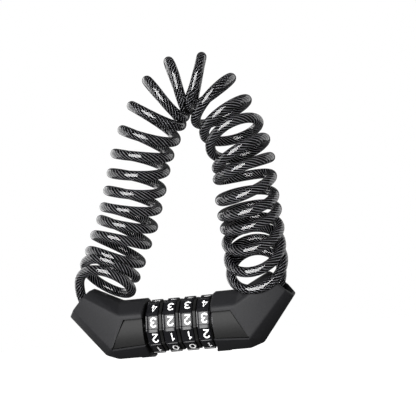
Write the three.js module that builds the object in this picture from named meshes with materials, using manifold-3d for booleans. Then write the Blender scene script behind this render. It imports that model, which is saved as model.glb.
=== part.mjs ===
// Coiled-cable combination lock: a four-dial lock body with an elbow housing at each end, and one coiled
// steel cable that leaves the left elbow, arches over a rail and comes down into the right elbow.
// Units are millimetres, +Z is up, +X runs along the dials' axis towards the pull-off plug, and +Y is the
// back. The origin is the point under the arch where the coil rests on the rail.

import * as THREE from 'three';
import { ConvexGeometry } from 'three/addons/geometries/ConvexGeometry.js';
import { mergeVertices } from 'three/addons/utils/BufferGeometryUtils.js';
import Module from 'manifold-3d';

const wasm = await Module();
wasm.setup();

// Driving dimensions
const HANG = { x: 13.9, z: 91.7 }; // the origin, seen from the middle of the dial stack
const GAP = 0.3; // clearance between pieces that touch on the real lock

const DIAL = { count: 4, pitch: 7.6, width: 6.2, flats: 10, barRadius: 11.95, flatEdge: 11.54, firstBar: 0 };
const SPLINE = { teeth: 10, clutchTip: 9.0, clutchRoot: 8.55, ringTip: 9.4, ringLand: 8.9 };
const CLUTCH = { width: 5.4, bore: 6.4, gateDepth: 7.4, gateHalf: 1.4 };
const BARREL = { outer: 5.2, inner: 3.2, left: -28.5, right: 19.5, slotLeft: -16.6, slotHalf: 1.35 };
const BOLT = { radius: 2.9, tip: -17, flange: 4.2, tail: 3.2, lugReach: 7.0, lugHalf: 0.95, lugThick: 1.4 };
const CLIP = { from: 14.5, to: 15.3, inner: 5.5, outer: 8.1, gapHalf: 1.7 };
const COLLAR = { from: 16.5, to: 19.2, inner: 5.5, outer: 8.2, notch: 7.4, notchHalf: 1.6 };
const PIN_RADIUS = 1;

const COVER = { collar: 15.2, boreRadius: 11.2, boreEnd: 28.5, wall: 1.5 };
const CORE = { from: 15.6, to: 27.8, radius: 10.9, socketRadius: 8.6, socketEnd: 20.4 };
const PANEL = { top: 5.8, nearBottom: -5.3, farBottom: -6.4, topCorner: 23.5, bottomCorner: 30.4, face: 12.4, bow: 16 };
const LIP = { from: 14.1, to: 20.6, half: 2, top: -12, bottom: -13.3 };
const MOUTH = { x: 45.4, z: 14.3, slope: 44, inner: 7.1, outer: 8.0, halfDepth: 8.2 };
const FERRULE = { outer: 3.7, bore: 2.7, start: 9, boreEnd: 14.6, end: 18.6, pinAt: 16.6, sleeve: 5.6 };

const CABLE = { diameter: 4.4, sides: 8 };
const COIL = { diameter: 28, sides: 12, archRadius: 14.4, archLeft: 156, archRight: 22 };

// Centre line of the coil, from its left end over the arch to its right end, each point with the number of
// turns wound so far. They are seen from the middle of the dial stack.
const COIL_ROUTE = [
  { turn: 0.25, at: [-33.6, -1.9, 20] },
  { turn: 1.25, at: [-30.9, 1.1, 26.9] },
  { turn: 2.25, at: [-28.8, 3.2, 31.9] },
  { turn: 3.25, at: [-25.1, 4.7, 40.3] },
  { turn: 4.25, at: [-21.9, 5.2, 46.2] },
  { turn: 6.25, at: [-16.1, 4.8, 61.1] },
  { turn: 8.25, at: [-9.7, 2.4, 77.4] },
  { turn: 9.25, at: [-5.5, 1.4, 84.8] },
  { turn: 10.25, at: [-0.3, 0.9, 93.7] },
  { turn: 11.25, at: [4.9, 0.4, 100.1] },
  { turn: 12.25, at: [12.5, 0.5, 104.9] },
  { turn: 13.25, at: [20.5, 0.5, 103.7] },
  { turn: 14.25, at: [25.8, 0.4, 96.1] },
  { turn: 15.25, at: [30.6, -0.6, 87] },
  { turn: 16.25, at: [33.4, -2.7, 79.4] },
  { turn: 17.25, at: [35.7, -4.7, 70.9] },
  { turn: 18.25, at: [36, -5.2, 65.4] },
  { turn: 19.25, at: [35.8, -4.8, 56.4] },
  { turn: 20.25, at: [35.7, -3.8, 49.4] },
  { turn: 21.25, at: [36, -2.3, 42.9] },
  { turn: 23.25, at: [35.7, -0.9, 28.8] },
  { turn: 24.25, at: [36, -1.4, 22.3] },
];
const LEGS = { leftFrom: 1, leftTo: 9.5, rightFrom: 15, rightTo: 23.5 }; // turns in the plain solids of the legs

const FINISH = {
  housing: new THREE.MeshStandardMaterial({ color: 0x141414, roughness: 0.55, metalness: 0 }),
  dial: new THREE.MeshStandardMaterial({ color: 0x0b0b0c, roughness: 0.2, metalness: 0 }),
  steel: new THREE.MeshStandardMaterial({ color: 0x9a9da1, roughness: 0.35, metalness: 1 }),
  brass: new THREE.MeshStandardMaterial({ color: 0xb08d4a, roughness: 0.4, metalness: 1 }),
  cable: new THREE.MeshStandardMaterial({ color: 0x1c1d1f, roughness: 0.15, metalness: 0 }),
};

const radians = THREE.MathUtils.degToRad;

// Solids and meshes

function solid(geometry) {
  const bare = new THREE.BufferGeometry().setAttribute('position', geometry.getAttribute('position'));
  bare.setIndex(geometry.index);
  const merged = mergeVertices(bare, 1e-4);
  return new wasm.Manifold(
    new wasm.Mesh({
      numProp: 3,
      vertProperties: new Float32Array(merged.attributes.position.array),
      triVerts: new Uint32Array(merged.index.array),
    }),
  );
}

function geometryOf(body) {
  const mesh = body.getMesh();
  const geometry = new THREE.BufferGeometry();
  geometry.setAttribute('position', new THREE.BufferAttribute(mesh.vertProperties, 3));
  geometry.setIndex(new THREE.BufferAttribute(mesh.triVerts, 1));
  geometry.computeVertexNormals();
  return geometry;
}

function piece(name, shape, finish) {
  const geometry = shape.isBufferGeometry ? shape : geometryOf(shape);
  const mesh = new THREE.Mesh(geometry, FINISH[finish]);
  mesh.name = name;
  return mesh;
}

// Basic forms

const point2 = (x, y) => new THREE.Vector2(x, y);
const point3 = (x, y, z) => new THREE.Vector3(x, y, z);

function hull(points) {
  return solid(new ConvexGeometry(points));
}

function box(x, y, z) {
  const geometry = new THREE.BoxGeometry(x[1] - x[0], y[1] - y[0], z[1] - z[0]);
  return solid(geometry.translate((x[0] + x[1]) / 2, (y[0] + y[1]) / 2, (z[0] + z[1]) / 2));
}

// A prism along X from an outline in Y and Z, with holes.
function prismX(outline, holes, from, to) {
  const shape = new THREE.Shape(outline);
  shape.holes = holes.map((hole) => new THREE.Path(hole));
  const geometry = new THREE.ExtrudeGeometry(shape, { depth: to - from, bevelEnabled: false });
  const turn = new THREE.Matrix4().makeBasis(point3(0, 1, 0), point3(0, 0, 1), point3(1, 0, 0));
  return solid(geometry.applyMatrix4(turn).translate(from, 0, 0));
}

// A prism along Y from an outline in X and Z.
function prismY(outline, from, to) {
  const geometry = new THREE.ExtrudeGeometry(new THREE.Shape(outline), { depth: to - from, bevelEnabled: false });
  const turn = new THREE.Matrix4().makeBasis(point3(1, 0, 0), point3(0, 0, 1), point3(0, -1, 0));
  return solid(geometry.applyMatrix4(turn).translate(0, to, 0));
}

// A body turned about the X axis, from the steps of its profile, each [x, radius], outer side first and
// then back along the inner side.
function turned(profile, segments = 32) {
  const points = profile.map(([x, radius]) => point2(radius, x));
  points.push(points[0].clone());
  return new THREE.LatheGeometry(points, segments).rotateZ(-Math.PI / 2);
}

function rod(from, to, radius, segments = 32) {
  return turned([[from, 0], [from, radius], [to, radius], [to, 0]], segments);
}

function tube(from, to, outer, inner, segments = 32) {
  return turned([[from, outer], [to, outer], [to, inner], [from, inner]], segments);
}

function circle(radius, segments) {
  const points = [];
  for (let i = 0; i < segments; i += 1) {
    const angle = (2 * Math.PI * i) / segments;
    points.push(point2(radius * Math.cos(angle), radius * Math.sin(angle)));
  }
  return points;
}

// An outline in Y and Z with evenly spaced teeth; angles in degrees from the back, towards the top.
function toothed(count, tip, tipHalf, root, rootHalf, phase) {
  const corners = [[root, -rootHalf], [tip, -tipHalf], [tip, tipHalf], [root, rootHalf]];
  const points = [];
  for (let i = 0; i < count; i += 1) {
    for (const [radius, offset] of corners) {
      const angle = radians(phase + (360 * i) / count + offset);
      points.push(point2(radius * Math.cos(angle), radius * Math.sin(angle)));
    }
  }
  return points;
}

function pinAlong(axis, from, to, radius) {
  const pin = rod(from, to, radius, 12);
  return axis === 'z' ? pin.rotateY(-Math.PI / 2) : pin.rotateZ(Math.PI / 2);
}

// Dials

function numberRing(centre) {
  const outside = toothed(DIAL.flats, DIAL.barRadius, 3.6, DIAL.flatEdge, 4.4, DIAL.firstBar);
  const inside = toothed(SPLINE.teeth, SPLINE.ringTip, 6, SPLINE.ringLand, 9, DIAL.firstBar);
  return prismX(outside, [inside], centre - DIAL.width / 2, centre + DIAL.width / 2);
}

function clutchRing(centre) {
  const from = centre - CLUTCH.width / 2;
  const to = centre + CLUTCH.width / 2;
  const outside = toothed(SPLINE.teeth, SPLINE.clutchTip, 4, SPLINE.clutchRoot, 7, DIAL.firstBar);
  const ring = prismX(outside, [circle(CLUTCH.bore, 32)], from, to);
  const gate = box([from - 1, to + 1], [-CLUTCH.gateHalf, CLUTCH.gateHalf], [-CLUTCH.gateDepth, -4]);
  return ring.subtract(gate);
}

// Barrel and bolt

const dialCentres = Array.from({ length: DIAL.count }, (_, i) => (i - (DIAL.count - 1) / 2) * DIAL.pitch);
const BARREL_PIN_X = -24;
const BOLT_PIN_X = 25.6;

function lockBarrel() {
  const body = solid(tube(BARREL.left, BARREL.right, BARREL.outer, BARREL.inner));
  const slotZ = [-BARREL.outer - 1, 0];
  const slot = box([BARREL.slotLeft, BARREL.right + 1], [-BARREL.slotHalf, BARREL.slotHalf], slotZ);
  const pinHole = solid(pinAlong('z', -8, 8, PIN_RADIUS + GAP).translate(BARREL_PIN_X, 0, 0));
  return body.subtract(slot).subtract(pinHole);
}

function lockingBolt() {
  let bolt = solid(
    turned([
      [BOLT.tip, 0],
      [BOLT.tip, BOLT.radius - 1],
      [BOLT.tip + 1, BOLT.radius],
      [20.8, BOLT.radius],
      [20.8, BOLT.flange],
      [22.8, BOLT.flange],
      [22.8, BOLT.tail],
      [CORE.to - 0.4, BOLT.tail],
      [CORE.to - 0.4, 0],
    ]),
  );
  for (const centre of dialCentres) {
    const lugX = centre - DIAL.pitch / 2;
    const lugXs = [lugX - BOLT.lugThick / 2, lugX + BOLT.lugThick / 2];
    bolt = bolt.add(box(lugXs, [-BOLT.lugHalf, BOLT.lugHalf], [-BOLT.lugReach, -1]));
  }
  return bolt.subtract(solid(pinAlong('z', -8, 8, PIN_RADIUS + GAP).translate(BOLT_PIN_X, 0, 0)));
}

// A flat strip over the barrel with a hump under each clutch ring.
function detentSpring() {
  const low = BARREL.outer + GAP;
  const thick = 0.35;
  const humpHeight = 0.3;
  const top = [];
  const bottom = [];
  for (let i = 0; i <= 32; i += 1) {
    const x = -14.2 + (28.4 * i) / 32;
    const wave = Math.max(0, Math.cos((2 * Math.PI * (x - dialCentres[0])) / DIAL.pitch));
    const z = low + humpHeight * wave;
    top.push(point2(x, z + thick));
    bottom.unshift(point2(x, z));
  }
  return prismY([...top, ...bottom], -1.1, 1.1);
}

function retainingClip() {
  const ring = solid(tube(CLIP.from, CLIP.to, CLIP.outer, CLIP.inner));
  return ring.subtract(box([CLIP.from - 1, CLIP.to + 1], [-CLIP.gapHalf, CLIP.gapHalf], [-CLIP.outer - 1, 0]));
}

// A collar whose notch lines up with the slot, and two ribs for a fingertip.
function resetCollar() {
  const ring = solid(tube(COLLAR.from, COLLAR.to, COLLAR.outer - 0.5, COLLAR.inner));
  const notchX = [COLLAR.from - 1, COLLAR.to + 1];
  const notch = box(notchX, [-COLLAR.notchHalf, COLLAR.notchHalf], [-COLLAR.notch, -4]);
  const rib = box([COLLAR.from, COLLAR.to], [-COLLAR.outer, COLLAR.outer], [-0.7, 0.7]);
  const bore = solid(rod(COLLAR.from - 1, COLLAR.to + 1, COLLAR.inner));
  return ring.add(rib.subtract(bore)).subtract(notch);
}

// Housings. side is -1 for the left one and 1 for the right one; s is the distance from the middle of the
// dial stack towards that side.

function span(side, from, to) {
  return side > 0 ? [from, to] : [-to, -from];
}

function onBothFaces(side, corners) {
  return corners.flatMap(([s, depth, z]) => [point3(side * s, -depth, z), point3(side * s, depth, z)]);
}

const leg = { cos: Math.cos(radians(MOUTH.slope)), sin: Math.sin(radians(MOUTH.slope)) };

// Places a body turned about X with its axis on the leg's axis and x = 0 at the mouth, inwards positive.
function alongLeg(side, geometry) {
  const heading = side > 0 ? 180 - MOUTH.slope : MOUTH.slope;
  return geometry.rotateY(radians(heading)).translate(side * MOUTH.x, 0, MOUTH.z);
}

// Corners of the mouth's outline, or of one that lies deeper or is smaller all round.
function mouthRing(side, inset, deeper) {
  const corners = [];
  const inner = MOUTH.inner - inset;
  const outer = MOUTH.outer - inset;
  const depth = MOUTH.halfDepth - inset;
  const outline = [[inner, depth * 0.45], [inner * 0.55, depth], [-outer * 0.45, depth], [-outer, depth * 0.5]];
  for (const [up, y] of outline) {
    const s = MOUTH.x - deeper * leg.cos - up * leg.sin;
    const z = MOUTH.z - deeper * leg.sin + up * leg.cos;
    corners.push([s, y, z]);
  }
  return onBothFaces(side, corners);
}

function collarRing(side, s) {
  return onBothFaces(side, [[s, 3.5, 12.7], [s, 11.4, 8.7], [s, 12.5, 7.4], [s, 12.5, -6], [s, 6, -12.3]]);
}

function bendRing(side) {
  return onBothFaces(side, [
    [27, 3.5, 12.7],
    [26.2, 11.4, 8.8],
    [25.6, 12.5, 7.5],
    [31, 12.4, -7],
    [29.9, 6, -12.3],
    [35.8, 5, -10.4],
  ]);
}

function insideBend(side, inset) {
  return onBothFaces(side, [
    [27, 3.5 - inset / 2, 12.7 - inset],
    [26.5, 11.2 - inset, 6.3],
    [31, 12.4 - inset, -5.5],
    [29.9, 6, -12.3 + inset],
    [35.8 - inset, 5, -10.4 + inset / 2],
  ]);
}

function panelOutline(side, grow) {
  return [
    point2(side * (COVER.collar - 3), PANEL.top + grow),
    point2(side * (PANEL.topCorner + grow), PANEL.top + grow),
    point2(side * (PANEL.bottomCorner + grow), PANEL.farBottom - grow),
    point2(side * (COVER.collar - 3), PANEL.nearBottom - grow),
  ];
}

function elbowCover(side) {
  const barrelEnd = hull([...collarRing(side, COVER.collar), ...bendRing(side)]);
  const legPart = hull([...bendRing(side), ...mouthRing(side, 0, 0)]);
  const lip = box(span(side, LIP.from, LIP.to), [-LIP.half, LIP.half], [LIP.bottom, LIP.top]);
  const hollow = hull([...insideBend(side, COVER.wall + 0.3), ...mouthRing(side, COVER.wall, -0.5)]);
  const boreXs = span(side, COVER.collar - 1, COVER.boreEnd);
  const bore = solid(rod(boreXs[0], boreXs[1], COVER.boreRadius, 40));
  const windows = prismY(panelOutline(side, GAP), -20, 20);
  return barrelEnd.add(legPart).add(lip).subtract(hollow).subtract(bore).subtract(windows);
}

// The core: a drum in the bore, a raised panel on the front and the back, and a sleeve for the ferrule.
function coreDrum(side) {
  const [from, to] = span(side, CORE.from, CORE.to);
  const drum = solid(rod(from, to, CORE.radius, 40));
  const [panelFrom, panelTo] = span(side, CORE.from, PANEL.bottomCorner);
  const bowed = (face) => {
    const round = solid(rod(panelFrom, panelTo, PANEL.bow, 240).translate(0, face * (PANEL.face - PANEL.bow), 0));
    return round.intersect(prismY(panelOutline(side, 0), Math.min(0, face * 20), Math.max(0, face * 20)));
  };
  const behind = box([-60, 60], [-9.4, 9.4], [-20, 20]);
  const panels = bowed(-1).add(bowed(1));
  const sleeve = solid(alongLeg(side, rod(FERRULE.start - 2, FERRULE.end + 6, FERRULE.sleeve, 24)));
  const cut = box(span(side, CORE.to - 6, 60), [-20, 20], [-20, 20]);
  const facing = panels.subtract(behind.intersect(cut));
  return drum.add(facing).add(sleeve);
}

function ferrulePocket(side) {
  const pocket = solid(alongLeg(side, rod(FERRULE.start - 4, FERRULE.end + GAP, FERRULE.outer + GAP, 24)));
  return pocket.add(ferrulePinHole(side));
}

function ferrulePinPlace(side, geometry) {
  const s = MOUTH.x - FERRULE.pinAt * leg.cos;
  return geometry.translate(side * s, 0, MOUTH.z - FERRULE.pinAt * leg.sin);
}

function ferrulePinHole(side) {
  return solid(ferrulePinPlace(side, pinAlong('y', -12, 12, PIN_RADIUS + GAP)));
}

function ferrule(side) {
  const body = turned(
    [
      [FERRULE.end, 0],
      [FERRULE.boreEnd, 0],
      [FERRULE.boreEnd, FERRULE.bore],
      [FERRULE.start, FERRULE.bore],
      [FERRULE.start, FERRULE.outer],
      [FERRULE.end, FERRULE.outer],
    ],
    24,
  );
  return solid(alongLeg(side, body)).subtract(ferrulePinHole(side));
}

function leftCore() {
  const bore = solid(rod(BARREL.left - GAP, -CORE.from + 1, BARREL.outer + GAP));
  const lugRoom = box([BARREL.slotLeft, -CORE.from + 1], [-CLUTCH.gateHalf, CLUTCH.gateHalf], [-CLUTCH.gateDepth, -3]);
  const pinHole = solid(pinAlong('z', -7, 7, PIN_RADIUS + GAP).translate(BARREL_PIN_X, 0, 0));
  return coreDrum(-1).subtract(bore).subtract(lugRoom).subtract(pinHole).subtract(ferrulePocket(-1));
}

function rightCore() {
  const socket = solid(rod(CORE.from - 1, CORE.socketEnd, CORE.socketRadius));
  const seat = solid(rod(CORE.socketEnd - 1, 22.8 + GAP, BOLT.flange + GAP));
  const tail = solid(rod(22, CORE.to + 1, BOLT.tail + GAP));
  const pinHole = solid(pinAlong('z', -7, 7, PIN_RADIUS + GAP).translate(BOLT_PIN_X, 0, 0));
  return coreDrum(1).subtract(socket).subtract(seat).subtract(tail).subtract(pinHole).subtract(ferrulePocket(1));
}

// Cable. A stretch is one solid along a smooth curve through its points.

function along(points, radius, sides, steps) {
  const curve = new THREE.CatmullRomCurve3(points, false, 'centripetal');
  const section = new THREE.Shape(circle(radius, sides));
  return new THREE.ExtrudeGeometry(section, { extrudePath: curve, steps, bevelEnabled: false });
}

function archPoint(degrees) {
  const angle = radians(degrees);
  return point3(HANG.x + COIL.archRadius * Math.cos(angle), 0, HANG.z + COIL.archRadius * Math.sin(angle));
}

// A point straight on from an end of the arch, at a distance from that end.
function beyondArch(degrees, distance) {
  const angle = radians(degrees);
  return archPoint(degrees).add(point3(-distance * Math.sin(angle), 0, distance * Math.cos(angle)));
}

function routePoints(from, to) {
  return COIL_ROUTE.filter(({ turn }) => turn > from && turn < to).map(({ at }) => point3(...at));
}
const startOfArch = [beyondArch(COIL.archLeft, 4), beyondArch(COIL.archLeft, GAP)];
const endOfArch = [beyondArch(COIL.archRight, -GAP), beyondArch(COIL.archRight, -4)];
const turnsUp = [...routePoints(LEGS.leftFrom, LEGS.leftTo), ...startOfArch];
const turnsDown = [...endOfArch, ...routePoints(LEGS.rightFrom, LEGS.rightTo)];

// The arch's first and last points lie close together, so that its end faces stand square to its curve.
function arch() {
  const points = [archPoint(COIL.archLeft)];
  const first = COIL.archLeft - 1;
  const last = COIL.archRight + 1;
  for (let i = 0; i <= 12; i += 1) {
    points.push(archPoint(first + ((last - first) * i) / 12));
  }
  points.push(archPoint(COIL.archRight));
  return along(points, COIL.diameter / 2, COIL.sides, 12);
}

// From the ferrule's bore out of the mouth to the outer side of the coil's end face, which it meets square.
function cableTail(side, coilEnd, coilNext) {
  const inLeg = (depth) => point3(side * (MOUTH.x - depth * leg.cos), 0, MOUTH.z - depth * leg.sin);
  const straight = [FERRULE.boreEnd - GAP, FERRULE.start, 3].map(inLeg);
  const onward = coilNext.clone().sub(coilEnd).normalize();
  const outward = point3(side * onward.z, 0, -side * onward.x).normalize();
  const face = coilEnd.clone().addScaledVector(outward, (COIL.diameter - CABLE.diameter) / 2 - 0.4);
  const end = face.clone().addScaledVector(onward, -GAP);
  const before = face.clone().addScaledVector(onward, -4);
  return along([...straight, before, end], CABLE.diameter / 2, CABLE.sides, 10);
}

// Assembly, seen from the middle of the dial stack and then hung from the origin

const lock = new THREE.Group();
lock.position.set(-HANG.x, 0, -HANG.z);

for (const [side, name] of [[-1, 'left'], [1, 'right']]) {
  lock.add(piece(`${name}_elbow_cover`, elbowCover(side), 'housing'));
  lock.add(piece(`${name}_core_sleeve`, side < 0 ? leftCore() : rightCore(), 'housing'));
  lock.add(piece(`${name}_ferrule`, ferrule(side), 'steel'));
  const pin = ferrulePinPlace(side, pinAlong('y', -5.2, 5.2, PIN_RADIUS));
  lock.add(piece(`${name}_ferrule_pin`, pin, 'steel'));
}

lock.add(piece('lock_barrel', lockBarrel(), 'steel'));
lock.add(piece('barrel_pin', pinAlong('z', -6.6, 6.6, PIN_RADIUS).translate(BARREL_PIN_X, 0, 0), 'steel'));
lock.add(piece('detent_spring', detentSpring(), 'steel'));
lock.add(piece('retaining_clip', retainingClip(), 'steel'));
lock.add(piece('reset_collar', resetCollar(), 'brass'));
lock.add(piece('locking_bolt', lockingBolt(), 'steel'));
lock.add(piece('bolt_pin', pinAlong('z', -6.6, 6.6, PIN_RADIUS).translate(BOLT_PIN_X, 0, 0), 'steel'));

dialCentres.forEach((centre, i) => {
  lock.add(piece(`number_ring_${i + 1}`, numberRing(centre), 'dial'));
  lock.add(piece(`clutch_ring_${i + 1}`, clutchRing(centre), 'brass'));
});

lock.add(piece('coil_left_leg', along(turnsUp, COIL.diameter / 2, COIL.sides, 14), 'cable'));
lock.add(piece('coil_crown', arch(), 'cable'));
lock.add(piece('coil_right_leg', along(turnsDown, COIL.diameter / 2, COIL.sides, 14), 'cable'));
lock.add(piece('cable_left_tail', cableTail(-1, turnsUp[0], turnsUp[1]), 'cable'));
lock.add(piece('cable_right_tail', cableTail(1, turnsDown.at(-1), turnsDown.at(-2)), 'cable'));

const cableLock = new THREE.Group();
cableLock.add(lock);

export default cableLock;
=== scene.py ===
"""Looks of the coiled-cable combination lock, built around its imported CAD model. Metres, +Z up.

Lengths are written in millimetres and seen from the middle of the dial stack; place() turns them into
metres in the shared frame.
"""

import math

import bmesh
import bpy
import numpy as np
from mathutils import Matrix, Vector


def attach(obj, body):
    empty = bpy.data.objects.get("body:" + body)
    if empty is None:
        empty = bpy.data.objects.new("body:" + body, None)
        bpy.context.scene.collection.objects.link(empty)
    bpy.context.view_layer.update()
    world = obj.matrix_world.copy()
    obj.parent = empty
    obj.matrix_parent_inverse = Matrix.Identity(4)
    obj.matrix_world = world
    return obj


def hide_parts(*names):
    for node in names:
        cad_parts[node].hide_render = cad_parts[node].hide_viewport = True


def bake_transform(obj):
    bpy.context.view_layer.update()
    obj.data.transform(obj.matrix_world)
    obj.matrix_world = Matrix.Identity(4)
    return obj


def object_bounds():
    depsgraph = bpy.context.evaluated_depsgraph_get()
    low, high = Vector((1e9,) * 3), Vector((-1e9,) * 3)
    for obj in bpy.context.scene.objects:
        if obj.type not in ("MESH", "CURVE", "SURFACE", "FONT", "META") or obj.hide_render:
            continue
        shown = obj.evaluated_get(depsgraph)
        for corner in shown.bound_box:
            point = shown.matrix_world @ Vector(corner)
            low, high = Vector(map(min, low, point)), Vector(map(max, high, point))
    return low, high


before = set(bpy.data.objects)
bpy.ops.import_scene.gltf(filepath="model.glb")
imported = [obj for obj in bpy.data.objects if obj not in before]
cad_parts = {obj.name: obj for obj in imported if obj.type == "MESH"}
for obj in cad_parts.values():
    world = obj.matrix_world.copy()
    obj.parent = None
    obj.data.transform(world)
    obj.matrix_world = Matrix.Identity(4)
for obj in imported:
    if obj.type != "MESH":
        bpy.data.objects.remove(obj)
CAD_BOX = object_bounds()

MM = 0.001
HANG = np.array([13.9, 0.0, 91.7])


def place(points):
    return (np.asarray(points, float) - HANG) * MM


def unit(v):
    v = np.asarray(v, float)
    return v / np.linalg.norm(v)


# Camera: azimuth, elevation and roll in degrees, lens and sensor in mm. In the picture it aims to the right
# of the middle of the dial stack and above it, and it stands at the distance from that point, all in mm.

VIEW = {"azimuth": 11.0, "elevation": 2.0, "roll": 7.0, "lens": 77.8, "sensor": 36.0}
AIM = {"right": 10.81, "up": 51.49, "distance": 400.0}
SEEN_FROM, SEEN_TO = 0.01, 20.0  # metres


def make_camera():
    a, e, r = (math.radians(VIEW[k]) for k in ("azimuth", "elevation", "roll"))
    out = np.array([math.sin(a) * math.cos(e), -math.cos(a) * math.cos(e), math.sin(e)])
    level = np.array([math.cos(a), math.sin(a), 0.0])
    upright = np.cross(out, level)
    right = level * math.cos(r) - upright * math.sin(r)
    up = upright * math.cos(r) + level * math.sin(r)
    aim = right * AIM["right"] + up * AIM["up"]
    camera = bpy.data.objects.new("camera", bpy.data.cameras.new("camera"))
    bpy.context.scene.collection.objects.link(camera)
    camera.data.lens = VIEW["lens"]
    camera.data.sensor_width = VIEW["sensor"]
    camera.data.clip_start = SEEN_FROM
    camera.data.clip_end = SEEN_TO
    turn = Matrix([[right[i], up[i], out[i]] for i in range(3)]).to_4x4()
    camera.matrix_world = Matrix.Translation(Vector(place(aim + out * AIM["distance"]))) @ turn
    bpy.context.scene.camera = camera


make_camera()

# Materials


def material(name):
    m = bpy.data.materials.new(name)
    m.use_nodes = True
    return m, m.node_tree, m.node_tree.nodes["Principled BSDF"]


def set_values(shader, **values):
    for key, value in values.items():
        shader.inputs[key.replace("_", " ")].default_value = value


def object_noise(tree, scale):
    where = tree.nodes.new("ShaderNodeTexCoord")
    noise = tree.nodes.new("ShaderNodeTexNoise")
    noise.inputs["Scale"].default_value = scale
    noise.inputs["Detail"].default_value = 2.0
    tree.links.new(where.outputs["Object"], noise.inputs["Vector"])
    return noise


def add_bump(tree, shader, noise, distance, strength):
    """Fine relief; the distance is in metres."""
    bump = tree.nodes.new("ShaderNodeBump")
    bump.inputs["Distance"].default_value = distance
    bump.inputs["Strength"].default_value = strength
    tree.links.new(noise.outputs["Fac"], bump.inputs["Height"])
    tree.links.new(bump.outputs["Normal"], shader.inputs["Normal"])


def tone_ramp(tree, shader, source, *stops):
    """Colours the shader along the source's values; each stop is a position and a colour."""
    ramp = tree.nodes.new("ShaderNodeValToRGB")
    for element, (position, colour) in zip(ramp.color_ramp.elements, stops):
        element.position = position
        element.color = (*colour, 1)
    tree.links.new(source.outputs["Fac"], ramp.inputs["Fac"])
    tree.links.new(ramp.outputs["Color"], shader.inputs["Base Color"])


def two_tones(tree, shader, noise, dark, light):
    tone_ramp(tree, shader, noise, (0.3, dark), (0.7, light))


def grained(name, dark, light, roughness, scale, distance, strength, metallic=0.0, **more):
    """Two close tones and a relief, both from one noise of the given scale, distance and strength."""
    m, tree, shader = material(name)
    noise = object_noise(tree, scale)
    two_tones(tree, shader, noise, dark, light)
    add_bump(tree, shader, noise, distance, strength)
    set_values(shader, Roughness=roughness, Metallic=metallic, **more)
    return m


HOUSING = grained(
    "housing_plastic", (0.008, 0.008, 0.009), (0.014, 0.014, 0.015), 0.5, 2600, 0.00003, 0.35,
    Specular_IOR_Level=0.12,
)
PANEL_PLASTIC = grained(
    "panel_plastic", (0.008, 0.008, 0.008), (0.014, 0.014, 0.014), 0.5, 3000, 0.00003, 0.4,
    Specular_IOR_Level=0.12,
)
DIAL_PLASTIC = grained(
    "dial_plastic", (0.005, 0.005, 0.006), (0.007, 0.007, 0.008), 0.16, 1500, 0.000004, 0.2,
    Specular_IOR_Level=0.33,
)
SHOULDER_PLASTIC = grained(
    "shoulder_plastic", (0.006, 0.006, 0.006), (0.009, 0.009, 0.009), 0.3, 1500, 0.000005, 0.2,
    Specular_IOR_Level=0.1,
)
DIGIT_PAINT = grained("digit_paint", (0.78, 0.78, 0.78), (0.84, 0.84, 0.84), 0.5, 2200, 0.000003, 0.2)
STEEL = grained(
    "plated_steel", (0.15, 0.15, 0.155), (0.20, 0.20, 0.205), 0.42, 900, 0.000004, 0.3, metallic=1.0
)
BRASS = grained(
    "turned_brass", (0.26, 0.18, 0.065), (0.33, 0.23, 0.085), 0.42, 900, 0.000004, 0.3, metallic=1.0
)


def strand_material():
    """Drawn wire: a pale painted highlight along the strands' crests, painted shade on their sides and in the
    grooves between them.
    """
    m, tree, shader = material("strand_steel")
    noise = object_noise(tree, 1400)
    painted_light_depth = tree.nodes.new("ShaderNodeAttribute")
    painted_light_depth.attribute_name = "painted_light_depth"
    # Painted highlight on the crests, painted shade on the wires' sides and in the grooves between them.
    tone_ramp(tree, shader, painted_light_depth, (0.02, (0.36, 0.36, 0.37)), (0.08, (0.006, 0.006, 0.006)))
    add_bump(tree, shader, noise, 0.00001, 0.3)
    set_values(shader, Roughness=0.6, Metallic=0.08, Specular_IOR_Level=0.1)
    return m


STRAND_STEEL = strand_material()


def jacket_material():
    """Clear plastic with a grey tint."""
    m, tree, shader = material("smoky_jacket")
    noise = object_noise(tree, 400)
    two_tones(tree, shader, noise, (0.34, 0.34, 0.36), (0.39, 0.39, 0.41))
    set_values(shader, Roughness=0.03, IOR=1.55, Transmission_Weight=1.0)
    return m


JACKET = jacket_material()

# Meshes


def mesh_object(name, points, faces, paint, smooth=False):
    mesh = bpy.data.meshes.new(name)
    mesh.from_pydata([tuple(p) for p in points], [], [tuple(f) for f in faces])
    mesh.validate()
    mesh.update()
    if paint:
        mesh.materials.append(paint)
    mesh.polygons.foreach_set("use_smooth", [smooth] * len(mesh.polygons))
    made = bpy.data.objects.new(name, mesh)
    bpy.context.scene.collection.objects.link(made)
    return made


def drop(made):
    bpy.data.objects.remove(made)


def applied(made):
    """The object with its modifiers made part of its mesh."""
    bpy.context.view_layer.update()
    graph = bpy.context.evaluated_depsgraph_get()
    mesh = bpy.data.meshes.new_from_object(made.evaluated_get(graph))
    made.modifiers.clear()
    made.data = mesh
    return made


def combined(made, other, how):
    step = made.modifiers.new("step", "BOOLEAN")
    step.operation = how
    step.solver = "EXACT"
    step.object = other
    applied(made)
    drop(other)
    return made


BEVEL = {"segments": 3, "angle": 12}  # edges that turn by more than the angle, in degrees, are bevelled


def bevelled(made, width):
    step = made.modifiers.new("bevel", "BEVEL")
    step.width = width * MM
    step.segments = BEVEL["segments"]
    step.limit_method = "ANGLE"
    step.angle_limit = math.radians(BEVEL["angle"])
    step.use_clamp_overlap = True
    return applied(made)


def edited(made, *steps):
    """The object after each step has worked on its mesh."""
    bm = bmesh.new()
    bm.from_mesh(made.data)
    for step in steps:
        step(bm)
    bm.to_mesh(made.data)
    bm.free()
    return made


def wrap(bm):
    bmesh.ops.convex_hull(bm, input=bm.verts)
    loose = [v for v in bm.verts if not v.link_faces]
    bmesh.ops.delete(bm, geom=loose, context="VERTS")


def turn_outwards(bm):
    bmesh.ops.recalc_face_normals(bm, faces=bm.faces)


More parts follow.
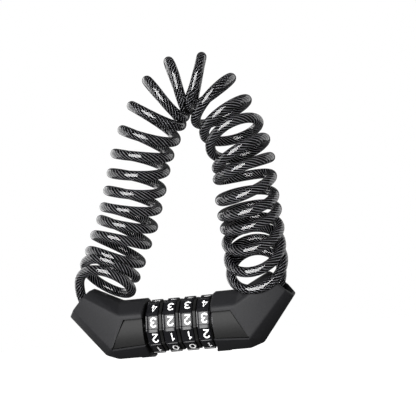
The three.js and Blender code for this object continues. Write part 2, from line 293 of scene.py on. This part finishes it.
def weld(bm):
    bmesh.ops.remove_doubles(bm, verts=bm.verts, dist=1e-6)


def flatten(degrees):
    """A step that joins faces which meet at less than this angle."""
    limit = math.radians(degrees)
    return lambda bm: bmesh.ops.dissolve_limit(bm, angle_limit=limit, verts=bm.verts, edges=bm.edges)


def hull(name, points):
    return edited(mesh_object(name, place(points), [], None), wrap, turn_outwards, flatten(degrees=1))


def box(name, x, y, z):
    return hull(name, [(a, b, c) for a in x for b in y for c in z])


def ring_points(x, outline):
    return [(x, y, z) for y, z in outline]


def lofted(name, rings, paint):
    """A closed solid through rings of equal length, capped at both ends."""
    count = len(rings[0])
    faces = [tuple(range(count))[::-1]]
    for k in range(len(rings) - 1):
        for i in range(count):
            j = (i + 1) % count
            faces.append((k * count + i, k * count + j, (k + 1) * count + j, (k + 1) * count + i))
    faces.append(tuple((len(rings) - 1) * count + i for i in range(count)))
    return edited(mesh_object(name, place([p for ring in rings for p in ring]), faces, paint), turn_outwards)


def circle(radius, count):
    angles = [2 * math.pi * i / count for i in range(count)]
    return [(radius * math.cos(a), radius * math.sin(a)) for a in angles]


def rod(name, x, radius, sides=64):
    return lofted(name, [ring_points(v, circle(radius, sides)) for v in x], None)


SHARP = {"cover": 24, "dial": 30}  # edges steeper than this, in degrees, stay sharp


def smooth_by_angle(made, degrees):
    made.data.polygons.foreach_set("use_smooth", [True] * len(made.data.polygons))
    made.data.set_sharp_from_angle(angle=math.radians(degrees))
    return made


# Cable. The coil's centre line is repeated from the CAD source; turn counts the windings.

COIL_ROUTE = [
    (0.25, (-33.6, -1.9, 20)), (1.25, (-30.9, 1.1, 26.9)), (2.25, (-28.8, 3.2, 31.9)),
    (3.25, (-25.1, 4.7, 40.3)), (4.25, (-21.9, 5.2, 46.2)), (6.25, (-16.1, 4.8, 61.1)),
    (8.25, (-9.7, 2.4, 77.4)), (9.25, (-5.5, 1.4, 84.8)), (10.25, (-0.3, 0.9, 93.7)),
    (11.25, (4.9, 0.4, 100.1)), (12.25, (12.5, 0.5, 104.9)), (13.25, (20.5, 0.5, 103.7)),
    (14.25, (25.8, 0.4, 96.1)), (15.25, (30.6, -0.6, 87)), (16.25, (33.4, -2.7, 79.4)),
    (17.25, (35.7, -4.7, 70.9)), (18.25, (36, -5.2, 65.4)), (19.25, (35.8, -4.8, 56.4)),
    (20.25, (35.7, -3.8, 49.4)), (21.25, (36, -2.3, 42.9)), (23.25, (35.7, -0.9, 28.8)),
    (24.25, (36, -1.4, 22.3)),
]
# How far each turn nods forward and leans sideways, in degrees, by turn.
NOD = [
    (0.0, 68), (0.25, 46), (0.75, 33), (1.25, 30), (2.25, 12), (3.25, 7), (4.25, 4), (6.25, -4), (8.25, -6),
    (9.25, -4), (10.25, -5), (11.25, 0), (13.25, 0), (14.25, -5), (15.25, -15), (16.25, -25), (17.25, -11),
    (18.25, -2), (19.25, 11), (20.25, 13), (21.25, 13), (23.25, 40), (24.25, 48), (25.0, 60),
]
TILT = [
    (0.25, 5), (1.25, -4), (2.25, -5), (3.25, 3), (4.25, 1), (6.25, 3), (8.25, 6), (9.25, 0), (10.25, -7),
    (11.25, -17), (12.25, -11), (13.25, 4), (14.25, 6), (15.25, 0), (16.25, 0), (17.25, 9), (18.25, 9),
    (19.25, 10), (20.25, 4), (21.25, 4), (23.25, 0), (24.25, 0),
]
TURN_RADIUS = 11.8
CABLE = {"radius": 2.2, "wire_orbit": 1.21, "wire_radius": 0.47, "wires": 8, "lay": 15.0}
JACKET_MESH = {"step": 1.2, "sides": 24}
WIRE_MESH = {"step": 1.0, "sides": 6}
MOUTH = {"x": 45.4, "z": 14.3, "slope": math.radians(44), "inner": 7.1, "outer": 8.0, "half_depth": 8.2}
FIRST_TURN, LAST_TURN = 0.06, 24.86
COIL_SAMPLES = 2400
# The straight ends inside the elbows, in depths below the mouths, and the bends that join them to the coil.
LEG = {"deep": 14.2, "shallow": 2, "points": 13}
BEND_UP = {"pull": 10, "count": 14}
BEND_DOWN = {"pull": 12, "count": 16}


def hermite(knots, values, at):
    """A smooth curve through the values at the knots, read at the given places."""
    knots = np.asarray(knots, float)
    values = np.asarray(values, float).reshape(len(knots), -1)
    slopes = np.empty_like(values)
    slopes[1:-1] = (values[2:] - values[:-2]) / (knots[2:] - knots[:-2])[:, None]
    slopes[0] = (values[1] - values[0]) / (knots[1] - knots[0])
    slopes[-1] = (values[-1] - values[-2]) / (knots[-1] - knots[-2])
    i = np.clip(np.searchsorted(knots, at, side="right") - 1, 0, len(knots) - 2)
    h = (knots[i + 1] - knots[i])[:, None]
    s = (at[:, None] - knots[i][:, None]) / h
    start = (2 * s**3 - 3 * s**2 + 1) * values[i] + (s**3 - 2 * s**2 + s) * h * slopes[i]
    end = (3 * s**2 - 2 * s**3) * values[i + 1] + (s**3 - s**2) * h * slopes[i + 1]
    return start + end


def by_turn(table, at):
    return hermite([row[0] for row in table], [row[1] for row in table], at)


def coil_points(turns):
    """The cable's centre line, wound about the route; each turn is nodded and leaned by the tables."""
    centre = by_turn(COIL_ROUTE, turns)
    near = 0.05
    ahead = by_turn(COIL_ROUTE, turns + near) - by_turn(COIL_ROUTE, turns - near)
    ahead[:, 1] = 0
    ahead /= np.linalg.norm(ahead, axis=1)[:, None]
    lean = np.radians(np.interp(turns, [r[0] for r in TILT], [r[1] for r in TILT]))[:, None]
    ahead = np.hstack([
        ahead[:, :1] * np.cos(lean) - ahead[:, 2:] * np.sin(lean),
        np.zeros_like(lean),
        ahead[:, :1] * np.sin(lean) + ahead[:, 2:] * np.cos(lean),
    ])
    outer = np.stack([-ahead[:, 2], 0 * ahead[:, 0], ahead[:, 0]], 1)
    nod = np.radians(by_turn(NOD, turns))
    front = -np.cos(nod) * np.array([0, 1, 0]) + np.sin(nod) * ahead
    angle = 2 * np.pi * turns[:, None]
    return centre + TURN_RADIUS * (np.cos(angle) * outer + np.sin(angle) * front)


def in_leg(side, depth):
    """A point on the mouth's axis, the depth below the mouth; side is -1 for the left and 1 for the right."""
    s = MOUTH["x"] - depth * math.cos(MOUTH["slope"])
    return np.array([side * s, 0.0, MOUTH["z"] - depth * math.sin(MOUTH["slope"])])


def bridge(a, a_dir, b, b_dir, pull, count):
    """Points from a to b, leaving along a_dir and arriving along b_dir."""
    s = np.linspace(0, 1, count, endpoint=False)[1:, None]
    head = (2 * s**3 - 3 * s**2 + 1) * a + (s**3 - 2 * s**2 + s) * pull * a_dir
    tail = (3 * s**2 - 2 * s**3) * b + (s**3 - s**2) * pull * b_dir
    return head + tail


def cable_path():
    coil = coil_points(np.linspace(FIRST_TURN, LAST_TURN, COIL_SAMPLES))
    rise = unit(in_leg(-1, 0) - in_leg(-1, 5))
    sink = unit(in_leg(1, 5) - in_leg(1, 0))
    start_leg = [in_leg(-1, d) for d in np.linspace(LEG["deep"], LEG["shallow"], LEG["points"])]
    end_leg = [in_leg(1, d) for d in np.linspace(LEG["shallow"], LEG["deep"], LEG["points"])]
    up = bridge(start_leg[-1], rise, coil[0], unit(coil[1] - coil[0]), **BEND_UP)
    down = bridge(coil[-1], unit(coil[-1] - coil[-2]), end_leg[0], sink, **BEND_DOWN)
    return np.vstack([start_leg, up, coil, down, end_leg])


def respaced(path, step):
    """The path with even steps, and how far along it each of its points is."""
    gaps = np.linalg.norm(np.diff(path, axis=0), axis=1)
    along = np.concatenate([[0], np.cumsum(gaps)])
    count = int(round(along[-1] / step)) + 1
    at = np.linspace(0, along[-1], count)
    return np.stack([np.interp(at, along, path[:, i]) for i in range(3)], 1), at


def carried_frames(path):
    """Two directions across the path at each point, carried along it so that they don't twist."""
    ahead = np.gradient(path, axis=0)
    ahead /= np.linalg.norm(ahead, axis=1)[:, None]
    side = unit(np.cross(ahead[0], [0, 1, 0.1]))
    sides = []
    for t in ahead:
        side = unit(side - t * (side @ t))
        sides.append(side)
    sides = np.array(sides)
    return sides, np.cross(ahead, sides)


def swept(name, path, radius_at, count, twist, paint):
    """A capped tube; radius_at gives the radius at each angle of the section, twist its turn in radians."""
    sides, others = carried_frames(path)
    angles = np.linspace(0, 2 * np.pi, count, endpoint=False)
    radii = radius_at(angles)
    turned = angles[None, :] + twist[:, None]
    offsets = np.cos(turned)[..., None] * sides[:, None] + np.sin(turned)[..., None] * others[:, None]
    rings = path[:, None] + offsets * radii[None, :, None]
    n = len(path)
    base = np.arange(n - 1)[:, None] * count
    i = np.arange(count)[None, :]
    j = (i + 1) % count
    quads = np.stack([base + i, base + j, base + count + j, base + count + i], -1).reshape(-1, 4)
    caps = [tuple(range(count))[::-1], tuple((n - 1) * count + k for k in range(count))]
    return mesh_object(name, place(rings.reshape(-1, 3)), [*quads.tolist(), *caps], paint, True)


# The CAD pieces of the cable, hidden in favour of the swept cable.
CABLE_NODES = ["coil_left_leg", "coil_crown", "coil_right_leg", "cable_left_tail", "cable_right_tail"]


def round_section(angles):
    return np.full(len(angles), CABLE["radius"])


def stranded_section(angles):
    """The outline of wires that lie side by side on a circle."""
    orbit, radius, lobe = CABLE["wire_orbit"], CABLE["wire_radius"], 2 * np.pi / CABLE["wires"]
    off = np.abs((angles + lobe / 2) % lobe - lobe / 2)
    return orbit * np.cos(off) + np.sqrt(np.maximum(radius**2 - (orbit * np.sin(off)) ** 2, 0))


def make_strands(whole):
    """The wires as one twisted piece; its attribute for the painted highlight and painted shade is 0 on the
    crests and 1 in the grooves.
    """
    fine, along = respaced(whole, WIRE_MESH["step"])
    count = WIRE_MESH["sides"] * CABLE["wires"]
    twist = 2 * np.pi * along / CABLE["lay"]
    strands = swept("cable_strands", fine, stranded_section, count, twist, STRAND_STEEL)
    reach = stranded_section(np.linspace(0, 2 * np.pi, count, endpoint=False))
    depth = np.tile((reach.max() - reach) / (reach.max() - reach.min()), len(fine))
    painted_light_depth = strands.data.attributes.new("painted_light_depth", "FLOAT", "POINT")
    painted_light_depth.data.foreach_set("value", depth.astype(np.float32))
    return strands


def make_cable():
    whole = cable_path()
    line, _ = respaced(whole, JACKET_MESH["step"])
    jacket = swept("cable_jacket", line, round_section, JACKET_MESH["sides"], np.zeros(len(line)), JACKET)
    strands = make_strands(whole)
    for made in (jacket, strands):
        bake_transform(made)
    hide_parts(*CABLE_NODES)
    length = np.linalg.norm(np.diff(line, axis=0), axis=1).sum() * MM
    print("cable length", round(length, 4))


make_cable()

# Elbow covers. s is the distance from the middle of the dial stack towards the cover's side.

COLLAR = 15.2
BORE = {"radius": 11.2, "end": 28.5}
SHELL = 1.5  # wall
GAP = 0.3
BEYOND = 20  # reaches past both faces of a cover
EDGE_BEVEL = 0.7
LIP_BEVEL = 0.3
HIDDEN_EDGE = 3  # how far the window is cut past the collar's edge
PANEL = {"top": 5.8, "near_bottom": -5.3, "far_bottom": -6.4, "top_corner": 23.5, "bottom_corner": 30.4}
LIP = {"from": 14.1, "to": 20.6, "half": 2.0, "top": -12.0, "bottom": -13.3}


def both_faces(side, corners):
    """Corners given as s, depth and z, on the front and on the back."""
    return [(side * s, y * depth, z) for s, depth, z in corners for y in (-1, 1)]


def collar_ring(side, s):
    return both_faces(side, [(s, 3.5, 12.7), (s, 11.4, 8.7), (s, 12.5, 7.4), (s, 12.5, -6), (s, 6, -12.3)])


def bend_ring(side):
    return both_faces(side, [
        (27, 3.5, 12.7), (26.2, 11.4, 8.8), (25.6, 12.5, 7.5),
        (31, 12.4, -7), (29.9, 6, -12.3), (35.8, 5, -10.4),
    ])


def mouth_ring(side, inset, deeper):
    """The mouth's outline, drawn in by the inset and moved down the leg."""
    c, s = math.cos(MOUTH["slope"]), math.sin(MOUTH["slope"])
    inner, outer = MOUTH["inner"] - inset, MOUTH["outer"] - inset
    depth = MOUTH["half_depth"] - inset
    outline = [(inner, depth * 0.45), (inner * 0.55, depth), (-outer * 0.45, depth), (-outer, depth * 0.5)]
    corners = [
        (MOUTH["x"] - deeper * c - up * s, y, MOUTH["z"] - deeper * s + up * c) for up, y in outline
    ]
    return both_faces(side, corners)


def inside_bend(side, inset):
    return both_faces(side, [
        (27, 3.5 - inset / 2, 12.7 - inset), (26.5, 11.2 - inset, 6.3), (31, 12.4 - inset, -5.5),
        (29.9, 6, -12.3 + inset), (35.8 - inset, 5, -10.4 + inset / 2),
    ])


def panel_corners(side, grow):
    return [
        (side * (COLLAR - HIDDEN_EDGE), PANEL["top"] + grow),
        (side * (PANEL["top_corner"] + grow), PANEL["top"] + grow),
        (side * (PANEL["bottom_corner"] + grow), PANEL["far_bottom"] - grow),
        (side * (COLLAR - HIDDEN_EDGE), PANEL["near_bottom"] - grow),
    ]


def window(side):
    return hull("window", [(x, y, z) for x, z in panel_corners(side, GAP) for y in (-BEYOND, BEYOND)])


def window_bevel(side, face):
    """A wedge that slopes the window's lower edge towards the outside."""
    far_end, near_end = panel_corners(side, GAP)[2:]
    rise = [(11.6, 0), (11.6, 1), (13.5, 1), (13.5, -2.4)]
    return hull("window_bevel", [(x, face * y, low + z) for x, low in (near_end, far_end) for y, z in rise])


def make_cover(side, name, body):
    cover = hull(name, [*collar_ring(side, COLLAR), *bend_ring(side)])
    leg_part = hull("leg_part", [*bend_ring(side), *mouth_ring(side, 0, 0)])
    combined(cover, leg_part, "UNION")
    edited(cover, weld, flatten(degrees=2.5))
    bevelled(cover, EDGE_BEVEL)
    span = sorted((side * LIP["from"], side * LIP["to"]))
    lip = box("lip", span, (-LIP["half"], LIP["half"]), (LIP["bottom"], LIP["top"]))
    combined(cover, bevelled(lip, LIP_BEVEL), "UNION")
    hollow = hull("hollow", [*inside_bend(side, SHELL + GAP), *mouth_ring(side, SHELL, -0.5)])
    combined(cover, hollow, "DIFFERENCE")
    bore_x = sorted((side * (COLLAR - 1), side * BORE["end"]))
    combined(cover, rod("bore", bore_x, BORE["radius"]), "DIFFERENCE")
    combined(cover, window(side), "DIFFERENCE")
    for face in (-1, 1):
        combined(cover, window_bevel(side, face), "DIFFERENCE")
    cover.data.materials.clear()
    cover.data.materials.append(HOUSING)
    smooth_by_angle(cover, SHARP["cover"])
    cover.name = name
    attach(cover, body)
    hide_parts(name.replace("_shell", "_cover"))


make_cover(-1, "left_elbow_shell", "lock_body")
make_cover(1, "right_elbow_shell", "plug")

# Dials

DIAL = {"pitch": 7.6, "count": 4, "bars": 10, "edge": 11.54}
STEP = 360 / DIAL["bars"]  # degrees from one bar to the next
# Places along a dial's axis, from its centre
LEFT_EDGE = -3.1
FLAT_FROM = -2.6
FLAT_END = 2.6
GROOVE_END = 2.85
RIGHT_EDGE = 4.15
LAST_EDGE = 3.1  # where the last dial's shoulder ends


def mirrored(half):
    """A tooth's corners on both sides of its middle, each a radius and an angle in degrees."""
    return [(radius, -offset) for radius, offset in half] + half[::-1]


BAR = mirrored([(11.54, 4.6), (11.56, 4.3), (11.84, 3.9), (11.95, 3.2)])
NUB = mirrored([(11.0, 5.5), (11.15, 4.0), (11.32, 2.6), (11.38, 1.0)])
SPLINE = mirrored([(8.9, 9), (9.4, 6)])
FLAT_HALF = 13.4  # half the angle of a flat between two bars
FACING = 162  # angle of the flat that faces forward, from the back towards the top
FACING_DIGITS = (3, 2, 2, 3)


def toothed(corners, inset=0.0):
    """Outline in Y and Z with ten teeth; angles in degrees from the back towards the top."""
    outline = []
    for k in range(DIAL["bars"]):
        for radius, offset in corners:
            angle = math.radians(STEP * k + offset)
            r = radius - inset
            outline.append((r * math.cos(angle), r * math.sin(angle)))
    return outline


def toothed_solid(name, rows, paint):
    """A solid along the axis; each row is a place, a tooth form and how far it is cut in."""
    return lofted(name, [ring_points(x, toothed(form, inset)) for x, form, inset in rows], paint)


DIGIT = {"high": 4.5, "wide": 3.0, "stroke": 0.74, "thick": 0.1, "shift": 0.6}


def make_dial(k, centre):
    left, right = centre + FLAT_FROM, centre + FLAT_END
    dial = toothed_solid(f"dial_{k}_ring", [
        (centre + LEFT_EDGE, NUB, 0.5), (left, NUB, 0.5),
        (left, BAR, 0.26), (left + 0.06, BAR, 0.08), (left + 0.22, BAR, 0),
        (right - 0.22, BAR, 0), (right - 0.06, BAR, 0.08), (right, BAR, 0.26),
        (right, NUB, 0.8), (centre + GROOVE_END, NUB, 0.8),
    ], DIAL_PLASTIC)
    start = centre + GROOVE_END
    edge = centre + (RIGHT_EDGE if k < DIAL["count"] else LAST_EDGE)
    shoulder = toothed_solid(f"dial_{k}_shoulder", [
        (start - 0.1, NUB, 0.22), (start + 0.1, NUB, 0),
        (edge - 0.15, NUB, 0), (edge - 0.05, NUB, 0.1), (edge, NUB, 0.25),
    ], SHOULDER_PLASTIC)
    for made in (dial, shoulder):
        bore = toothed_solid("bore", [(centre - 5, SPLINE, 0), (centre + 5, SPLINE, 0)], None)
        combined(made, bore, "DIFFERENCE")
        smooth_by_angle(made, SHARP["dial"])
        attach(made, f"dial_{k}")
    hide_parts(f"number_ring_{k}")


def bow(x, y, wide, high, start, end, count=14):
    """Points on an ellipse's arc, in degrees."""
    angles = [math.radians(start + (end - start) * i / count) for i in range(count + 1)]
    return [(x + wide * math.cos(t), y + high * math.sin(t)) for t in angles]


# Each digit's strokes on a field from -1 to 1
STROKES = {
    0: [bow(0, 0, 1, 1, 90, 450, 28)],
    1: [[(-0.75, 0.5), (-0.3, 0.62), (0.12, 1.0), (0.12, -1.0)]],
    2: [[*bow(0, 0.42, 0.95, 0.58, 172, -28), (0.1, -0.25), (-0.75, -0.75), (-0.95, -1.0), (1.0, -1.0)]],
    3: [[*bow(0, 0.5, 0.9, 0.5, 158, -78), (-0.25, 0.03)], bow(0, -0.46, 1, 0.54, 82, -162)],
    4: [[(0.42, -1.0), (0.42, 1.0), (-1.0, -0.42), (1.0, -0.42)]],
    5: [[(0.85, 1.0), (-0.65, 1.0), (-0.85, 0.05), *bow(0, -0.38, 1, 0.62, 140, -155)]],
    6: [[*bow(0.05, 0.05, 1.05, 0.95, 42, 180), *bow(0, -0.38, 1, 0.62, 180, -180, 24)]],
    7: [[(-1.0, 1.0), (1.0, 1.0), (0.2, 0.0), (-0.35, -1.0)]],
    8: [bow(0, 0.5, 0.86, 0.5, 90, 450, 24), bow(0, -0.48, 1, 0.52, 90, 450, 24)],
    9: [[*bow(-0.05, -0.05, 1.05, 0.95, -138, 0), *bow(0, 0.38, 1, 0.62, 0, 360, 24)]],
}


def glyph(number):
    """Points in mm, the third one above the face, and the faces of one digit."""
    curve = bpy.data.curves.new(f"digit_{number}", "CURVE")
    curve.dimensions = "3D"
    curve.bevel_depth = DIGIT["stroke"] / 2
    curve.bevel_resolution = 2
    curve.use_fill_caps = True
    half_wide = (DIGIT["wide"] - DIGIT["stroke"]) / 2
    half_high = (DIGIT["high"] - DIGIT["stroke"]) / 2
    for stroke in STROKES[number]:
        spline = curve.splines.new("POLY")
        closed = math.dist(stroke[0], stroke[-1]) < 1e-6
        kept = stroke[:-1] if closed else stroke
        spline.points.add(len(kept) - 1)
        spline.use_cyclic_u = closed
        for point, (x, y) in zip(spline.points, kept):
            point.co = (x * half_wide, y * half_high, 0, 1)
    holder = bpy.data.objects.new(f"digit_{number}", curve)
    bpy.context.scene.collection.objects.link(holder)
    bpy.context.view_layer.update()
    graph = bpy.context.evaluated_depsgraph_get()
    mesh = bpy.data.meshes.new_from_object(holder.evaluated_get(graph))
    points = np.array([v.co[:] for v in mesh.vertices]) * (1, 1, DIGIT["thick"] / DIGIT["stroke"])
    faces = [tuple(p.vertices) for p in mesh.polygons]
    drop(holder)
    return points, faces


GLYPHS = [glyph(n) for n in range(10)]


def make_digits(k, centre, facing):
    """White digits, upside down when the coil is up, one on each flat."""
    points, faces = [], []
    middle = centre + (FLAT_FROM + FLAT_END) / 2 + DIGIT["shift"]
    height = DIAL["edge"] * math.cos(math.radians(FLAT_HALF))
    for step in range(DIAL["bars"]):
        angle = math.radians(FACING + STEP * step)
        out = np.array([0, math.cos(angle), math.sin(angle)])
        up = np.array([0, -math.sin(angle), math.cos(angle)])
        shape, polygons = GLYPHS[(facing - step) % DIAL["bars"]]
        start = len(points)
        points += [np.array([middle - x, 0, 0]) + out * (height + z) + up * y for x, y, z in shape]
        faces += [tuple(start + v for v in polygon) for polygon in polygons]
    digits = mesh_object(f"dial_{k}_digits", place(points), faces, DIGIT_PAINT, True)
    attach(digits, f"dial_{k}")


for k in range(1, DIAL["count"] + 1):
    centre = (k - (DIAL["count"] + 1) / 2) * DIAL["pitch"]
    make_dial(k, centre)
    make_digits(k, centre, FACING_DIGITS[k - 1])

# Finishes of the CAD pieces that are shown as they are

FINISHES = {
    "core_sleeve": PANEL_PLASTIC,
    **dict.fromkeys(["ferrule", "barrel", "pin", "spring", "clip", "bolt"], STEEL),
    **dict.fromkeys(["reset_collar", "clutch_ring"], BRASS),
}
for kind, paint in FINISHES.items():
    for name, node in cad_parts.items():
        if kind in name:
            node.data.materials.clear()
            node.data.materials.append(paint)

# Studio. Azimuths and elevations in degrees; azimuth 0 is the front and 90 the plug's side.

LIT_POINT = Vector(place((8.0, 0.0, 45.0)))
LIGHT_DISTANCE = 0.9
# Each soft box: name, azimuth, elevation, width and height in metres, power in watts
SOFT_BOXES = [
    ("front_box", -12, 16, (0.72, 1.1), 30.0),
    ("left_box", -108, 8, (1.5, 1.0), 7.5),
    ("right_box", 128, 8, (1.0, 1.0), 3.5),
]
FLOOR = {"drop": 0.28, "half": 1.6, "glow": 1.0}
STUDIO = {"seen": 1.0, "mirrored": 0.07}


def toward(azimuth, elevation):
    a, e = math.radians(azimuth), math.radians(elevation)
    return Vector((math.sin(a) * math.cos(e), -math.cos(a) * math.cos(e), math.sin(e)))


def soft_box(name, azimuth, elevation, size, power):
    light = bpy.data.lights.new(name, "AREA")
    light.shape = "RECTANGLE"
    light.size, light.size_y = size
    light.energy = power
    holder = bpy.data.objects.new(name, light)
    bpy.context.scene.collection.objects.link(holder)
    holder.visible_camera = False
    holder.location = LIT_POINT + LIGHT_DISTANCE * toward(azimuth, elevation)
    holder.rotation_mode = "QUATERNION"
    holder.rotation_quaternion = (LIT_POINT - holder.location).to_track_quat("-Z", "Y")


def make_floor():
    """White glowing ground below the lock; it casts no light on the lock and isn't mirrored by it."""
    low, half = CAD_BOX[0][2] - FLOOR["drop"], FLOOR["half"]
    corners = [(-half, -half, low), (half, -half, low), (half, half, low), (-half, half, low)]
    paint = grained(
        "floor_paint", (0.80, 0.80, 0.80), (0.84, 0.84, 0.84), 0.7, 30, 0.0001, 0.05,
        Emission_Color=(1, 1, 1, 1), Emission_Strength=FLOOR["glow"],
    )
    floor = mesh_object("floor", corners, [(0, 1, 2, 3)], paint)
    floor.visible_diffuse = False
    floor.visible_glossy = False


def make_world():
    """A pale studio to look at and to see through the cable, dimmer where the surfaces mirror it."""
    world = bpy.data.worlds.new("studio")
    bpy.context.scene.world = world
    world.use_nodes = True
    tree = world.node_tree
    ground = tree.nodes["Background"]
    ground.inputs["Color"].default_value = (1, 1, 1, 1)
    rays = tree.nodes.new("ShaderNodeLightPath")
    seen = tree.nodes.new("ShaderNodeMath")
    seen.operation = "MAXIMUM"
    tree.links.new(rays.outputs["Is Camera Ray"], seen.inputs[0])
    tree.links.new(rays.outputs["Is Transmission Ray"], seen.inputs[1])
    strength = tree.nodes.new("ShaderNodeMapRange")
    strength.inputs["To Min"].default_value = STUDIO["mirrored"]
    strength.inputs["To Max"].default_value = STUDIO["seen"]
    tree.links.new(seen.outputs["Value"], strength.inputs["Value"])
    tree.links.new(strength.outputs["Result"], ground.inputs["Strength"])


make_floor()
make_world()
for row in SOFT_BOXES:
    soft_box(*row)

bpy.context.scene.view_settings.view_transform = "Standard"
